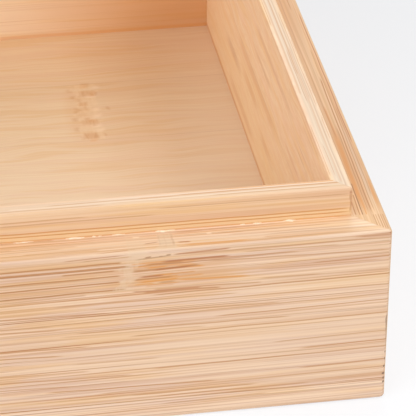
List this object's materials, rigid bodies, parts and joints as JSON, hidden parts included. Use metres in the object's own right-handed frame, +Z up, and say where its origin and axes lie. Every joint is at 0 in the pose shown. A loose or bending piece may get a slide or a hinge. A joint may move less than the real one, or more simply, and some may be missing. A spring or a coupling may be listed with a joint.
{
  "type": "storage box",
  "caption": "Open bamboo keepsake box with mitred walls, a raised inner lip round the rim and a lift-off lid laid upside down behind it.",
  "frame": {"origin": "centre of the box's underside, on the surface it stands on", "axes": "+X along the box's long side to the right, +Y from its front to its back, +Z up"},
  "size_m": [0.22, 0.3124, 0.0441],
  "materials": {
    "walls": "pale bamboo, edge grain with fine orange-brown fibre lines, sanded and clear sealed, satin",
    "liner": "pale bamboo boards with fine long lines, sanded and clear sealed, satin",
    "panels": "flat-pressed bamboo strips with faint nodes, sanded and clear sealed, satin"
  },
  "bodies": {
    "box": {"front_wall": "walls", "back_wall": "walls", "left_wall": "walls", "right_wall": "walls", "front_liner": "liner", "back_liner": "liner", "left_liner": "liner", "right_liner": "liner", "bottom_panel": "panels"},
    "lid": {"lid_front_rail": "walls", "lid_back_rail": "walls", "lid_left_rail": "walls", "lid_right_rail": "walls", "lid_top_panel": "panels"}
  },
  "joints": [
    {"name": "lid_turn", "type": "hinge", "parent": "box", "child": "lid", "pos_m": [0, 0.0782, 0.028], "axis": [1, 0, 0], "range_deg": [0, 180]}
  ]
}
